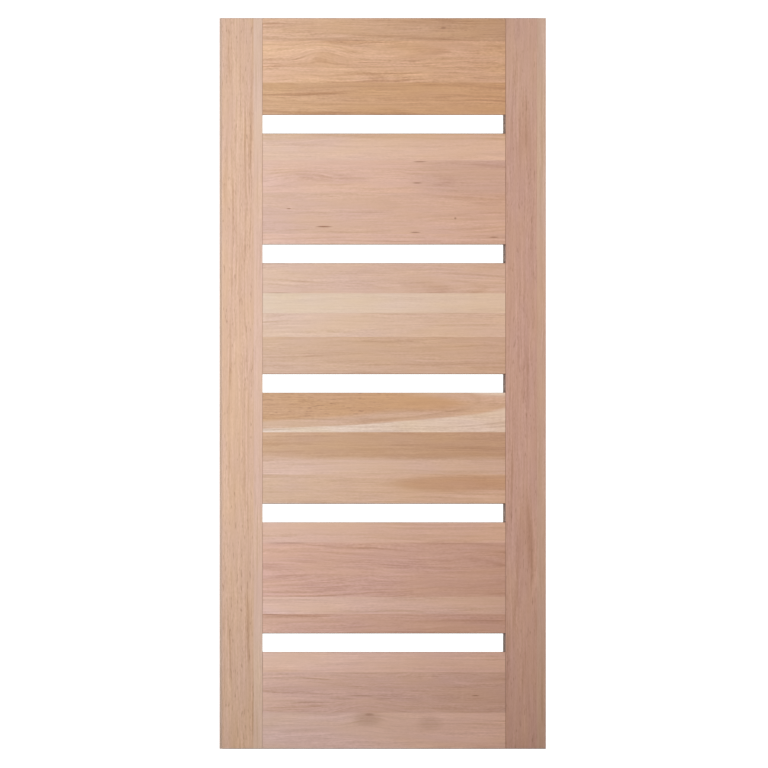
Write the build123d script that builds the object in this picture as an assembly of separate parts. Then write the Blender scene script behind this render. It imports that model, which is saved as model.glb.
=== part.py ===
from build123d import *
import os

# A flush door leaf of solid hardwood with narrow glazed slots, in millimetres.
# +X runs from the hinge edge to the lock edge, +Z is up and the front face looks along -Y.
# The origin is on the hinge edge, at floor level, half way through the thickness.

# The leaf and how its face is divided
leaf_width = 914.4
leaf_height = 2032.0
leaf_thickness = 44.45
stile_width = 114.3
stile_strip_width = 25.4
end_rail_height = 270.0
slot_height = 50.8

# One plough groove runs round every slot: it takes the rails' tongues and the glass
groove_width = 6.35
groove_depth = 12.7
glue_gap = 0.1
glass_thickness = 6.0
glass_edge_gap = 1.5

# Edges: eased arrises by hand plane, and a fine bevel where stile and rail meet
arris_radius = 2.0
joint_bevel = 0.8

# Widths of each rail's staves from its top edge down, which fill the rail's height in proportion
rail_staves = {
    "top_rail": (63, 116, 90),
    "second_rail": (75, 90, 115, 30),
    "third_rail": (84, 55, 66, 104),
    "fourth_rail": (110, 117, 82),
    "fifth_rail": (57, 152, 48, 55),
    "bottom_rail": (57, 112, 101),
}

# Worked out from the driving dimensions
slot_count = len(rail_staves) - 1
mid_rail_count = len(rail_staves) - 2
mid_rail_height = (leaf_height - 2 * end_rail_height - slot_count * slot_height) / mid_rail_count
rail_length = leaf_width - 2 * stile_width
tongue_thickness = groove_width - 2 * glue_gap
tongue_length = groove_depth - glue_gap
leaf_middle = leaf_width / 2


def planed_leaf():
    """The whole leaf as one block: arrises round front and back eased, the four corners left sharp."""
    block = Pos(leaf_middle, 0, leaf_height / 2) * Box(leaf_width, leaf_thickness, leaf_height)
    return fillet(block.edges().filter_by(Axis.Y, reverse=True), arris_radius)


def stile_blank():
    """The left stile before its outer arrises are eased: its plan, bevelled and grooved, run full height."""
    plan = Rectangle(stile_width, leaf_thickness, align=(Align.MIN, Align.CENTER))
    plan = chamfer(plan.vertices().group_by(Axis.X)[-1], joint_bevel)
    groove = Rectangle(groove_depth, groove_width, align=(Align.MAX, Align.CENTER))
    return extrude(plan - Pos(stile_width, 0) * groove, leaf_height)


def stile_stave(near, far):
    """One stave of the left stile, between two distances from its outer edge."""
    saw_cuts = Box(far - near, leaf_thickness, leaf_height, align=(Align.MIN, Align.CENTER, Align.MIN))
    return stile_blank() & leaf & Pos(near, 0, 0) * saw_cuts


def rail_plan():
    """A rail seen from above: bevelled shoulders with a tongue at each end."""
    shoulders = Rectangle(rail_length, leaf_thickness)
    shoulders = chamfer(shoulders.vertices(), joint_bevel)
    tongues = Rectangle(rail_length + 2 * tongue_length, tongue_thickness)
    return Pos(leaf_middle, 0) * (shoulders + tongues)


def stave_section(low, high, slot_below, slot_above):
    """A stave seen from its end, with the edges that face a slot eased and grooved for the glass."""
    section = Pos(0, low) * Rectangle(leaf_thickness, high - low, align=(Align.CENTER, Align.MIN))
    groove = Rectangle(groove_width, groove_depth, align=(Align.CENTER, Align.MIN))
    if slot_above:
        section = fillet(section.vertices().group_by(Axis.Y)[-1], arris_radius)
        section -= Pos(0, high - groove_depth) * groove
    if slot_below:
        section = fillet(section.vertices().group_by(Axis.Y)[0], arris_radius)
        section -= Pos(0, low) * groove
    return Plane.YZ * section


def stave(low, high, slot_below, slot_above):
    """One stave: what its plan and its end section have in common, within the planed leaf."""
    plan_run = extrude(Pos(0, 0, low) * rail_plan(), high - low)
    section_run = extrude(stave_section(low, high, slot_below, slot_above), leaf_width)
    return plan_run & section_run & leaf


def pane(slot_low):
    """Glass for one slot: it stands in the groove below and keeps a gap at its other edges."""
    width = rail_length + 2 * (groove_depth - glass_edge_gap)
    height = slot_height + 2 * groove_depth - glass_edge_gap
    foot = slot_low - groove_depth
    return Pos(leaf_middle, 0, foot + height / 2) * Box(width, glass_thickness, height)


leaf = planed_leaf()
across_leaf = Plane.YZ.offset(leaf_middle)
wide_stave = stile_width - stile_strip_width
pieces = {
    "hinge_stile_stave_1": stile_stave(0, wide_stave),
    "hinge_stile_stave_2": stile_stave(wide_stave, stile_width),
    "lock_stile_stave_1": mirror(stile_stave(stile_strip_width, stile_width), about=across_leaf),
    "lock_stile_stave_2": mirror(stile_stave(0, stile_strip_width), about=across_leaf),
}

rail_top = leaf_height
for rail_number, (rail, widths) in enumerate(rail_staves.items()):
    is_top = rail_number == 0
    is_bottom = rail_number == slot_count
    rail_height = end_rail_height if is_top or is_bottom else mid_rail_height
    high = rail_top
    for stave_number, width in enumerate(widths, start=1):
        is_first = stave_number == 1
        is_last = stave_number == len(widths)
        low = rail_top - rail_height * sum(widths[:stave_number]) / sum(widths)
        name = f"{rail}_stave_{stave_number}"
        pieces[name] = stave(low, high, is_last and not is_bottom, is_first and not is_top)
        high = low
    if not is_bottom:
        rail_top -= rail_height + slot_height
        pieces[f"slot_glass_{rail_number + 1}"] = pane(rail_top)

os.makedirs("parts", exist_ok=True)
for name, piece in pieces.items():
    export_step(piece.solid(), f"parts/{name}.step")
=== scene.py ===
import math

import bpy
import numpy as np
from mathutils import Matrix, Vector


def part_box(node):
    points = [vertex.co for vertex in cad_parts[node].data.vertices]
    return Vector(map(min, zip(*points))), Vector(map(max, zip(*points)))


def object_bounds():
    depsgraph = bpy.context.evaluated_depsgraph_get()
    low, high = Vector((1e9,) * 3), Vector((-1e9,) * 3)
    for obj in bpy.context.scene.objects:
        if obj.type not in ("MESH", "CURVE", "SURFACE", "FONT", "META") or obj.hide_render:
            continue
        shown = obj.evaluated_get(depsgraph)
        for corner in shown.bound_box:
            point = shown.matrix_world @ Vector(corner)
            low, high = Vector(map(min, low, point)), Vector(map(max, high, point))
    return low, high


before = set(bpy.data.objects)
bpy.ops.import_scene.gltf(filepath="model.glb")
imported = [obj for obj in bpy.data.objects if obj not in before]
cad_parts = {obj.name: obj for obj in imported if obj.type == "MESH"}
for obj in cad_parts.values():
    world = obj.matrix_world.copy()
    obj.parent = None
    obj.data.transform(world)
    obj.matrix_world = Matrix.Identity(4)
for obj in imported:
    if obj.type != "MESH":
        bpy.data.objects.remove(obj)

cad_low, cad_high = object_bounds()
leaf_middle = (cad_low + cad_high) / 2
leaf_height = cad_high.z - cad_low.z
front_face_y = cad_low.y
MM = 0.001

# Where the leaf stands in the 768 pixel frame, and how far to the left of square the view is
FRAME_PX = 768
LEAF_TOP_PX = 18.0
LEAF_BOTTOM_PX = 748.9
LEAF_MIDDLE_PX = 382.7
VIEW_FROM_LEFT_DEG = 10.0
CAMERA_DISTANCE = 6.0


def linear(hex_colour):
    """An sRGB hex colour as linear red, green, blue and alpha."""
    srgb = np.array([int(hex_colour[i:i + 2], 16) for i in (1, 3, 5)]) / 255
    rgb = np.where(srgb <= 0.04045, srgb / 12.92, ((srgb + 0.055) / 1.055) ** 2.4)
    return (*rgb.tolist(), 1.0)


def scaled(colour, factor):
    """A linear colour made lighter or darker by a factor."""
    return tuple(channel * factor for channel in colour[:3]) + (1.0,)


def add(tree, kind, inputs=(), **settings):
    """Adds one shader node. Inputs take a value, a socket or a node, whose first live output is used."""
    made = tree.nodes.new("ShaderNode" + kind)
    for name, value in settings.items():
        setattr(made, name, value)
    for key, value in dict(inputs).items():
        if isinstance(value, bpy.types.Node):
            value = next(output for output in value.outputs if output.enabled)
        if isinstance(value, bpy.types.NodeSocket):
            tree.links.new(value, made.inputs[key])
        else:
            made.inputs[key].default_value = value
    return made


def new_material(name):
    """An empty material with its shader and output, as (material, tree, shader)."""
    material = bpy.data.materials.new(name)
    material.use_nodes = True
    tree = material.node_tree
    tree.nodes.clear()
    shader = add(tree, "BsdfPrincipled")
    add(tree, "OutputMaterial", {"Surface": shader})
    return material, tree, shader


def dress(node_name, material):
    """Gives a CAD node one material in place of its own."""
    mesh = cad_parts[node_name].data
    mesh.materials.clear()
    mesh.materials.append(material)


# Tones of the boards, bare and fine sanded, from the heart of the log outwards
TONES = {
    "russet": "#C69B7B",
    "honey": "#D0A47E",
    "tan": "#CEA687",
    "clay": "#CDA493",
    "mauve": "#C9A596",
    "ash": "#C4A597",
    "rose": "#D3B0A0",
    "oat": "#D8B49A",
    "pink": "#DAB4A0",
    "blush": "#E0BDA8",
    "sand": "#DFBFA9",
    "sapwood": "#E6CCB6",
    "cream": "#E8D1BF",
}
GUM = "#8F6247"
# A dark brown that is painted shade on the slots' reveals, the arrises and the undersides
PAINTED_SHADE_BROWN = "#74503A"

# Factors on red, green and blue: late wood, blotches, fine lines, and the change per metre to the right,
# which is painted warmer light
LATE_WOOD = (0.8, 0.72, 0.64, 1)
YELLOWER = (1.02, 1.01, 0.95, 1)
PINKER = (1.0, 0.99, 1.03, 1)
LINE_SHARES = (0.75, 1.0, 1.25)
LINE_DEPTH = 0.21
PAINTED_WARM_LIGHT_PER_METRE = (0.12, 0.0, -0.085)

# Length along the grain and width across it of each pattern, in mm. Fibre, pores and flecks are coarser
# than in real wood, because one pixel of the picture covers 2.8 mm.
WAVE = (340, 56)
FIGURE_PATCH = (260, 26)
BLOTCH = (190, 42)
STREAK = (380, 4.5)
FIBRE = (45, 2.6)
PORES = (9, 3.0)
GUM_FLECK = (24, 3.2)
RING = (400, 6.0)

# How far stains and marks reach into the wood, and a bulge of the grain, in mm
STAIN_DEPTH = 5
BULGE_DEPTH = 60

# Values of a noise between which a pattern goes from nothing to full
PATCH_RANGE = {1: 0.35, 2: 0.65}
WAVE_RANGE = {1: 0.25, 2: 0.75}
ROUGH_RANGE = {1: 0.3, 2: 0.7}
LATE_WOOD_RANGE = {1: 0.5, 2: 0.68}
LINE_RANGE = {1: 0.85, 2: 1.65}

# Weight of the pores beside streaks and fibre, and where in their noise the gum flecks start
PORE_SHARE = 0.5
FLECK_START = 0.71
FLECK_STEP = 0.1
FLECK_STRENGTH = 0.42

# How much painted shade, in the shade brown, lies on faces that turn away from front and back: most on
# the slots' reveals, arrises and undersides, little on the outer edges
REVEAL_SHADE = 0.8
SLOT_EDGE_SHADE = 0.6
LOWEST_SLOT_SHADE = 1.0
OUTER_EDGE_SHADE = 0.15
UNDERSIDE_SHADE = 0.9

# How much of the end grain's own tone shows, and how light that is beside the heart's tone
END_GRAIN = 0.45
END_GRAIN_LIGHT = 0.4

# Shares of a face's normal between which it turns into end grain, a side face or an underside
END_FACING = {1: 0.75, 2: 0.95}
SIDE_FACING = {1: 0.97, 2: 0.5}
DOWN_FACING = {1: -0.03, 2: -0.3}

# Settings of the nodes that lay one colour over another, or multiply it
TINT = {"data_type": "RGBA"}
SHADE = {"data_type": "RGBA", "blend_type": "MULTIPLY"}


def sawn_wood(node_name, tone, light, pith, lean, seed, bands=(), stains=(), wander=5.0, figure=1.0,
              flecks=0.0, fade=0.0, marks=(), bulge=None, edge=SLOT_EDGE_SHADE, upright=False):
    """Bare cherry, planed and fine sanded: matt, with growth rings that the saw has cut through.

    The rings are cylinders round the log's pith, a line that runs along the board at pith mm across
    from the board's middle and behind its face, and that leans away by lean mm in each metre. Where the
    face cuts them flat they make arches, and to each side of that, close lines. Each of the bands is a
    tone that the wood takes from so many mm from the pith, over so many mm, and each of the stains is a
    patch of another tone. Streaks, fibre, pores and gum flecks are noise drawn out along the grain, and
    they wander with the rings by up to wander mm. A bulge, as beside a knot, pushes the grain aside, and
    each of the marks is one dark streak of gum or bark in the face.

    Light scales every tone, and figure says how strongly rings and lines show. The board grows lighter
    or darker by the share fade in each metre, partly its own tone and partly a painted fall-off of
    light, and boards across the leaf grow a little redder to the right, as painted warmer light. Faces
    that look sideways, and the eased arrises, take painted shade by the share edge, most in the slots
    and little on the outer edges, and faces that look down take painted shade by a share of their own.
    """
    low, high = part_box(node_name)
    middle = (low + high) / 2
    material, tree, shader = new_material("sanded_cherry_" + node_name)

    # Along the grain, behind the face and across the grain, from the middle of the board
    place = add(tree, "TexCoord").outputs["Object"]
    if upright:
        turn, shift = (0, math.pi / 2, 0), (-middle.z, -front_face_y, middle.x)
    else:
        turn, shift = (0, 0, 0), (-middle.x, -front_face_y, -middle.z)
    board = add(tree, "Mapping", {"Vector": place, "Rotation": turn, "Location": shift})

    def drawn_out(vector, pattern, detail, offset):
        """Noise whose patches are as long along the grain and as wide across it as the pattern."""
        length_mm, width_mm = pattern
        sizes = (1 / (length_mm * MM), 1 / (width_mm * MM), 1 / (width_mm * MM))
        stretched = add(tree, "VectorMath", {0: vector, 1: sizes}, operation="MULTIPLY")
        return add(tree, "TexNoise", {"Vector": stretched, "W": seed + offset, "Scale": 1.0,
                                      "Detail": detail, "Roughness": 0.55}, noise_dimensions="4D")

    def spot(along_mm, across_mm, length_mm, width_mm, depth_mm, inner):
        """1 inside a spot in the board's face, fading from its inner share to 0 at its edge."""
        centre = (along_mm * MM, 0, across_mm * MM)
        from_spot = add(tree, "VectorMath", {0: board, 1: centre}, operation="SUBTRACT")
        sizes = (2 / (length_mm * MM), 1 / (depth_mm * MM), 2 / (width_mm * MM))
        shaped = add(tree, "VectorMath", {0: from_spot, 1: sizes}, operation="MULTIPLY")
        away = add(tree, "VectorMath", {0: shaped}, operation="LENGTH").outputs["Value"]
        return add(tree, "MapRange", {0: away, 1: inner, 2: 1.0, 3: 1.0, 4: 0.0},
                   interpolation_type="SMOOTHSTEP")

    # Rings and fibre wander as the tree grew
    wave = drawn_out(board, WAVE, detail=1.0, offset=0.1)
    reach = wander * MM
    sway = add(tree, "MapRange", {0: wave, **WAVE_RANGE, 3: -reach, 4: reach}, clamp=False)
    if bulge:
        *place_and_size, push = bulge
        swell = spot(*place_and_size, BULGE_DEPTH, inner=0.0)
        sway = add(tree, "Math", {0: swell, 1: -push * MM, 2: sway}, operation="MULTIPLY_ADD")
    aside = add(tree, "CombineXYZ", {2: sway})
    grain = add(tree, "VectorMath", {0: board, 1: aside}, operation="ADD")
    along, behind, across = add(tree, "SeparateXYZ", {0: grain}).outputs

    # Distance from the pith
    pith_across, pith_behind = pith
    pith_depth = add(tree, "Math", {0: along, 1: lean * MM, 2: pith_behind * MM},
                     operation="MULTIPLY_ADD")
    depth = add(tree, "Math", {0: pith_depth, 1: behind}, operation="SUBTRACT")
    offset = add(tree, "Math", {0: across, 1: pith_across * MM}, operation="SUBTRACT")
    spoke = add(tree, "CombineXYZ", {0: offset, 1: depth})
    radius = add(tree, "VectorMath", {0: spoke}, operation="LENGTH").outputs["Value"]

    # Flecks of gum in the heart wood, then bands of tone from the heart outwards, and stains
    heart = scaled(linear(TONES[tone]), light)
    wood = add(tree, "RGB")
    wood.outputs[0].default_value = heart
    if flecks:
        speck = drawn_out(grain, GUM_FLECK, detail=1.0, offset=0.6)
        start = FLECK_START - FLECK_STEP * flecks
        gum = add(tree, "MapRange", {0: speck, 1: start, 2: start + FLECK_STEP, 4: FLECK_STRENGTH},
                  interpolation_type="SMOOTHSTEP")
        wood = add(tree, "Mix", {0: gum, 6: wood, 7: linear(GUM)}, **TINT)
    for band_tone, start, soft in bands:
        border = add(tree, "MapRange", {0: radius, 1: (start - soft) * MM, 2: (start + soft) * MM},
                     interpolation_type="SMOOTHSTEP")
        wood = add(tree, "Mix", {0: border, 6: wood, 7: scaled(linear(TONES[band_tone]), light)}, **TINT)
    for stain_tone, *place_and_size, strength in stains:
        stain = spot(*place_and_size, STAIN_DEPTH, inner=0.4)
        share = add(tree, "Math", {0: stain, 1: strength}, operation="MULTIPLY")
        wood = add(tree, "Mix", {0: share, 6: wood, 7: scaled(linear(TONES[stain_tone]), light)}, **TINT)

    # Late wood, as darker rings of uneven width; they show in some places only
    ring_place = add(tree, "CombineXYZ", {0: radius, 1: along})
    ring_length, ring_width = RING
    ring_sizes = (1 / (ring_width * MM), 1 / (ring_length * MM), 0)
    ring_noise = add(tree, "TexNoise", {
        "Vector": add(tree, "VectorMath", {0: ring_place, 1: ring_sizes}, operation="MULTIPLY"),
        "W": seed + 0.7, "Scale": 1.0, "Detail": 2.0, "Roughness": 0.6}, noise_dimensions="4D")
    late_wood = add(tree, "MapRange", {0: ring_noise, **LATE_WOOD_RANGE},
                    interpolation_type="SMOOTHSTEP")
    presence = drawn_out(board, FIGURE_PATCH, detail=1.0, offset=0.2)
    faint, clear = 0.2 * figure, 0.8 * figure
    shown = add(tree, "MapRange", {0: presence, **PATCH_RANGE, 3: faint, 4: clear})
    ring_share = add(tree, "Math", {0: late_wood, 1: shown}, operation="MULTIPLY")
    ringed = add(tree, "Mix", {0: ring_share, 6: wood, 7: LATE_WOOD}, **SHADE)

    # Blotches between yellow and pink, then streaks, fibre and pores as darker and paler lines
    blotch = drawn_out(grain, BLOTCH, detail=2.0, offset=0.3)
    hue = add(tree, "MapRange", {0: blotch, **PATCH_RANGE})
    tint = add(tree, "Mix", {0: hue, 6: YELLOWER, 7: PINKER}, **TINT)
    tinted = add(tree, "Mix", {0: 1.0, 6: ringed, 7: tint}, **SHADE)
    streak = drawn_out(grain, STREAK, detail=2.0, offset=0.4)
    fibre = drawn_out(grain, FIBRE, detail=1.0, offset=0.5)
    pores = drawn_out(grain, PORES, detail=0.0, offset=0.8)
    long_lines = add(tree, "Math", {0: streak, 1: fibre}, operation="ADD")
    lines = add(tree, "Math", {0: pores, 1: PORE_SHARE, 2: long_lines}, operation="MULTIPLY_ADD")
    paleness = add(tree, "MapRange", {0: lines, **LINE_RANGE})
    deep = LINE_DEPTH * figure
    dark_line = (*(1 - share * deep for share in LINE_SHARES), 1)
    pale_line = (*(1 + share * deep for share in LINE_SHARES), 1)
    line_tint = add(tree, "Mix", {0: paleness, 6: dark_line, 7: pale_line}, **TINT)
    lined_share = add(tree, "MapRange", {0: presence, **PATCH_RANGE, 3: 0.35, 4: 1.0})
    lined = add(tree, "Mix", {0: lined_share, 6: tinted, 7: line_tint}, **SHADE)

    # Lighter or darker along the board, partly its own tone and partly a painted fall-off of light, and
    # on the rails redder to the right as painted warmer light
    slopes = [fade + (0.0 if upright else slope) for slope in PAINTED_WARM_LIGHT_PER_METRE]
    light_and_tone_along = add(tree, "VectorMath", {0: along, 1: slopes, 2: (1, 1, 1)}, operation="MULTIPLY_ADD")
    coloured = add(tree, "Mix", {0: 1.0, 6: lined, 7: light_and_tone_along}, **SHADE)

    # The board's own marks
    for *place_and_size, strength in marks:
        mark = spot(*place_and_size, STAIN_DEPTH, inner=0.2)
        share = add(tree, "Math", {0: mark, 1: strength}, operation="MULTIPLY")
        coloured = add(tree, "Mix", {0: share, 6: coloured, 7: linear(GUM)}, **TINT)

    # End grain drinks light and is darker. Faces and arrises that turn away from front and back get
    # painted shade, and those that look down get the most painted shade
    facing = add(tree, "SeparateXYZ", {0: add(tree, "NewGeometry").outputs["Normal"]})
    along_facing = add(tree, "Math", {0: facing.outputs["Z" if upright else "X"]}, operation="ABSOLUTE")
    end_grain = add(tree, "MapRange", {0: along_facing, **END_FACING, 4: END_GRAIN})
    front_facing = add(tree, "Math", {0: facing.outputs["Y"]}, operation="ABSOLUTE")
    turned = add(tree, "MapRange", {0: front_facing, **SIDE_FACING, 4: edge})
    under_shade = add(tree, "MapRange", {0: facing.outputs["Z"], **DOWN_FACING, 4: UNDERSIDE_SHADE})
    shaded = add(tree, "Math", {0: turned, 1: under_shade}, operation="MAXIMUM")
    with_painted_shade = add(tree, "Mix", {0: shaded, 6: coloured, 7: linear(PAINTED_SHADE_BROWN)}, **TINT)
    colour = add(tree, "Mix", {0: end_grain, 6: with_painted_shade, 7: scaled(heart, END_GRAIN_LIGHT)}, **TINT)

    # Fibre in low relief, a little smoother where it is pale
    relief = add(tree, "Bump", {"Height": fibre, "Strength": 0.25, "Distance": 0.3 * MM})
    rough = add(tree, "MapRange", {0: fibre, **ROUGH_RANGE, 3: 0.62, 4: 0.5})
    tree.links.new(colour.outputs[2], shader.inputs["Base Color"])
    tree.links.new(rough.outputs[0], shader.inputs["Roughness"])
    tree.links.new(relief.outputs[0], shader.inputs["Normal"])
    shader.inputs["IOR"].default_value = 1.5
    shader.inputs["Specular IOR Level"].default_value = 0.3
    dress(node_name, material)


def float_glass():
    """Clear float glass, 6 mm: colourless, polished on both faces."""
    material, _, shader = new_material("clear_float_glass")
    shader.inputs["Base Color"].default_value = linear("#FAFDFC")
    shader.inputs["Roughness"].default_value = 0.0
    shader.inputs["IOR"].default_value = 1.5
    shader.inputs["Transmission Weight"].default_value = 1.0
    return material


# The boards, stiles first, then the rails from the top down. Stains, marks and bulges lie so many mm
# along and across from the board's middle, have a length and a width, and then a strength or a push.
# The share edge is how much painted shade a board's sideways faces and arrises take, and fade is partly
# the board's own tone and partly a painted fall-off of light
sawn_wood("hinge_stile_stave_1", "oat", 0.915, (70, 40), 10, 11, figure=1.1, flecks=0.8, edge=OUTER_EDGE_SHADE,
          upright=True)
sawn_wood("hinge_stile_stave_2", "blush", 0.862, (-60, 45), 10, 17, figure=0.7, upright=True,
          stains=[("sapwood", 900, 0, 700, 120, 0.4), ("sapwood", -900, 0, 700, 120, 0.4)])
sawn_wood("lock_stile_stave_1", "clay", 0.928, (-10, 45), 15, 23, flecks=0.8, edge=REVEAL_SHADE,
          upright=True, stains=[("blush", 930, 0, 560, 400, 0.25)])
sawn_wood("lock_stile_stave_2", "pink", 0.83, (90, 45), 10, 29, figure=0.8, fade=0.06, edge=OUTER_EDGE_SHADE,
          upright=True, stains=[("sand", 760, 0, 1000, 120, 0.8)])
sawn_wood("top_rail_stave_1", "tan", 0.97, (-90, 50), 30, 31, figure=1.45, flecks=0.2, fade=-0.4,
          marks=[(168, 4, 22, 9, 0.5)], edge=OUTER_EDGE_SHADE)
sawn_wood("top_rail_stave_2", "tan", 1.08, (25, 20), 50, 37, figure=1.7, wander=8, fade=-0.27,
          bulge=(-181, 30, 210, 100, 18))
sawn_wood("top_rail_stave_3", "honey", 0.93, (-80, 60), 20, 41, fade=-0.08, figure=1.35, wander=7)
sawn_wood("second_rail_stave_1", "blush", 0.94, (-60, 40), 8, 43, bands=[("oat", 88, 6)], figure=0.8)
sawn_wood("second_rail_stave_2", "pink", 0.973, (-10, 50), 30, 47, fade=-0.05, figure=0.85,
          stains=[("mauve", 250, 0, 460, 260, 0.75)], bulge=(-230, -4, 240, 90, 12),
          marks=[(101, 41, 56, 4, 0.8), (93, -18, 38, 5, 0.7)])
sawn_wood("second_rail_stave_3", "pink", 0.91, (20, 60), 30, 53, figure=0.8,
          marks=[(-170, -37, 62, 6, 0.9), (-269, 13, 18, 4, 0.8), (88, -53, 40, 4.5, 0.8),
                 (201, -14, 9, 8, 0.7)])
sawn_wood("second_rail_stave_4", "pink", 0.94, (90, 60), 20, 59, figure=0.8, fade=-0.18,
          marks=[(310, 6, 36, 4.5, 0.8)])
sawn_wood("third_rail_stave_1", "blush", 0.86, (-30, 50), 40, 61, fade=-0.08, figure=0.8,
          marks=[(-300, -41, 110, 4, 0.4)])
sawn_wood("third_rail_stave_2", "sapwood", 0.883, (90, 70), 15, 67, figure=0.52)
sawn_wood("third_rail_stave_3", "sand", 0.907, (-80, 50), 15, 71, fade=-0.06, figure=0.85)
sawn_wood("third_rail_stave_4", "oat", 0.88, (60, 50), 25, 73, fade=-0.1, figure=0.9)
sawn_wood("fourth_rail_stave_1", "honey", 0.905, (32, 56), 72, 79,
          bands=[("oat", 64, 5), ("cream", 83, 2)], wander=3, figure=1.1, flecks=1.1,
          stains=[("honey", 110, 24, 330, 56, 0.95), ("cream", 350, 58, 280, 36, 1.0)])
sawn_wood("fourth_rail_stave_2", "tan", 0.88, (90, 40), 8, 83, bands=[("blush", 112, 10)],
          figure=0.9, fade=-0.2)
sawn_wood("fourth_rail_stave_3", "oat", 0.94, (-70, 60), 20, 89, figure=0.8, wander=3,
          stains=[("russet", 185, 14, 440, 62, 0.85), ("russet", 360, 18, 360, 56, 0.7)])
sawn_wood("fifth_rail_stave_1", "pink", 0.957, (-70, 60), 20, 97, figure=0.75, fade=-0.15)
sawn_wood("fifth_rail_stave_2", "clay", 1.0, (-10, 45), 60, 101, wander=8, fade=-0.36,
          marks=[(-270, 74, 190, 4, 0.6)])
sawn_wood("fifth_rail_stave_3", "rose", 1.047, (70, 50), 20, 103, figure=0.9, fade=-0.32)
sawn_wood("fifth_rail_stave_4", "clay", 0.99, (60, 50), 20, 107, figure=1.15, fade=-0.32,
          marks=[(-320, 26, 100, 4, 0.6)])
sawn_wood("bottom_rail_stave_1", "rose", 1.105, (80, 60), 20, 109, figure=0.7, fade=-0.24,
          edge=LOWEST_SLOT_SHADE)
sawn_wood("bottom_rail_stave_2", "mauve", 1.07, (-20, 50), 25, 113, wander=7, figure=1.05, fade=-0.34,
          marks=[(258, -9, 28, 4, 0.8), (-209, -27, 190, 6, 0.35), (-115, -18, 110, 6, 0.35),
                 (-60, -9, 110, 6, 0.4), (-4, -18, 80, 6, 0.3)],
          bulge=(-50, -65, 260, 150, 22))
sawn_wood("bottom_rail_stave_3", "ash", 1.28, (-50, 50), 25, 127, wander=7, figure=0.85,
          marks=[(-46, 34, 120, 66, 0.3), (-42, 45, 36, 12, 0.4), (130, 20, 100, 60, 0.22)],
          bulge=(-46, 30, 200, 90, 14), edge=OUTER_EDGE_SHADE)
glass = float_glass()
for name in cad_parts:
    if name.startswith("slot_glass"):
        dress(name, glass)


def grid_object(name, points, columns):
    """A surface from a grid of points, given row by row, as one object."""
    rows = len(points) // columns
    corner = (np.arange(rows - 1)[:, None] * columns + np.arange(columns - 1)[None, :]).ravel()
    faces = np.stack([corner, corner + 1, corner + columns + 1, corner + columns], axis=1)
    mesh = bpy.data.meshes.new(name)
    mesh.from_pydata(points.tolist(), [], faces.tolist())
    made = bpy.data.objects.new(name, mesh)
    bpy.context.scene.collection.objects.link(made)
    return made


def studio():
    """A pale floor that brightens into a white surround, which only the camera and the glass see."""
    reach = 12.0
    glow_start, glow_full, glow_strength = 0.6, 3.2, 0.9
    surround_strength = 1.25
    columns, rows = 49, 25
    corner = np.array([-reach, reach])
    x, y = np.meshgrid(leaf_middle.x + corner, corner)
    floor = grid_object("floor", np.stack([x.ravel(), y.ravel(), np.zeros(4)], axis=1), 2)
    material, tree, shader = new_material("pale_studio_floor")
    place = add(tree, "TexCoord").outputs["Object"]
    centred = add(tree, "Mapping", {"Vector": place, "Location": (-leaf_middle.x, 0, 0)})
    away = add(tree, "VectorMath", {0: centred}, operation="LENGTH").outputs["Value"]
    glow = add(tree, "MapRange", {0: away, 1: glow_start, 2: glow_full, 4: glow_strength},
               interpolation_type="SMOOTHSTEP")
    tree.links.new(glow.outputs[0], shader.inputs["Emission Strength"])
    shader.inputs["Emission Color"].default_value = (1, 1, 1, 1)
    shader.inputs["Base Color"].default_value = linear("#E8E6E2")
    shader.inputs["Roughness"].default_value = 0.8
    floor.data.materials.append(material)

    turns, rises = np.meshgrid(np.linspace(0, 2 * np.pi, columns),
                               np.linspace(-np.pi / 2, np.pi / 2, rows))
    level = np.cos(rises)
    ball = np.stack([np.cos(turns) * level, np.sin(turns) * level, np.sin(rises)], axis=-1)
    points = ball.reshape(-1, 3) * 3 * reach + np.array(leaf_middle)
    surround = grid_object("white_surround", points, columns)
    material, _, shader = new_material("white_surround")
    shader.inputs["Base Color"].default_value = (0, 0, 0, 1)
    shader.inputs["Emission Color"].default_value = (1, 1, 1, 1)
    shader.inputs["Emission Strength"].default_value = surround_strength
    surround.data.materials.append(material)
    surround.visible_diffuse = False
    surround.visible_shadow = False


def look_from(made, towards, direction, distance):
    """Puts a lamp or camera that far from a point, in a direction, looking at the point."""
    made.location = towards + direction.normalized() * distance
    made.rotation_mode = "QUATERNION"
    made.rotation_quaternion = (-direction).to_track_quat("-Z", "Y")
    bpy.context.scene.collection.objects.link(made)


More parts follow.
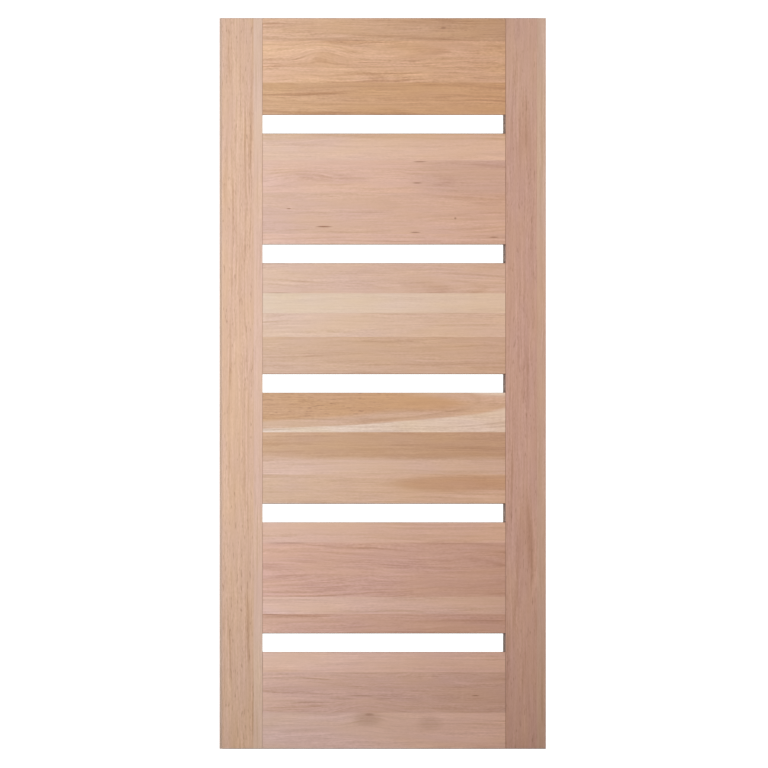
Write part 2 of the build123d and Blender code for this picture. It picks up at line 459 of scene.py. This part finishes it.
def studio_light():
    """A soft lamp near the camera, turned to the upper left, a weaker one behind, and a pale room."""
    cool, warm, white = (0.91, 1.0, 1.13), (1.0, 0.62, 0.22), (1.0, 1.0, 1.0)
    # Name, point aimed at, direction to the lamp, distance, size, watts, spread in degrees and colour
    lamps = [
        ("front_soft_box", (-0.95, 0, 0.9), (-0.15, -1, 0.28), 2.6, (1.2, 2.4), 26.7, 112, cool),
        ("side_fill", (1.3, 0, 1.0), (0.45, -1, 0.1), 2.4, (1.0, 2.0), 3.0, 110, warm),
        ("back_soft_box", leaf_middle, (0.6, 1, 0.4), 3.5, (1.6, 1.6), 30.0, 180, white),
    ]
    for name, aim, direction, distance, size, power, spread, colour in lamps:
        lamp = bpy.data.lights.new(name, "AREA")
        lamp.shape = "ELLIPSE"
        lamp.size, lamp.size_y = size
        lamp.energy = power
        lamp.spread = math.radians(spread)
        lamp.color = colour
        look_from(bpy.data.objects.new(name, lamp), Vector(aim), Vector(direction), distance)
    world = bpy.data.worlds.new("pale_room")
    world.use_nodes = True
    background = world.node_tree.nodes["Background"]
    background.inputs["Color"].default_value = (1.0, 0.9, 0.77, 1.0)
    background.inputs["Strength"].default_value = 0.28
    bpy.context.scene.world = world


def camera():
    """The photograph's view: square to the leaf's height and from the left, with no convergence."""
    metres_per_px = leaf_height / (LEAF_BOTTOM_PX - LEAF_TOP_PX)
    turn = math.radians(VIEW_FROM_LEFT_DEG)
    back = Vector((-math.sin(turn), -math.cos(turn), 0))
    right = Vector((math.cos(turn), -math.sin(turn), 0))
    right_px = FRAME_PX / 2 - LEAF_MIDDLE_PX
    down_px = FRAME_PX / 2 - (LEAF_TOP_PX + LEAF_BOTTOM_PX) / 2
    target = leaf_middle + (right * right_px - Vector((0, 0, 1)) * down_px) * metres_per_px
    lens = bpy.data.cameras.new("camera")
    lens.type = "ORTHO"
    lens.ortho_scale = FRAME_PX * metres_per_px
    made = bpy.data.objects.new("camera", lens)
    look_from(made, target, back, CAMERA_DISTANCE)
    bpy.context.scene.camera = made


studio()
studio_light()
camera()
bpy.context.scene.view_settings.view_transform = "Standard"
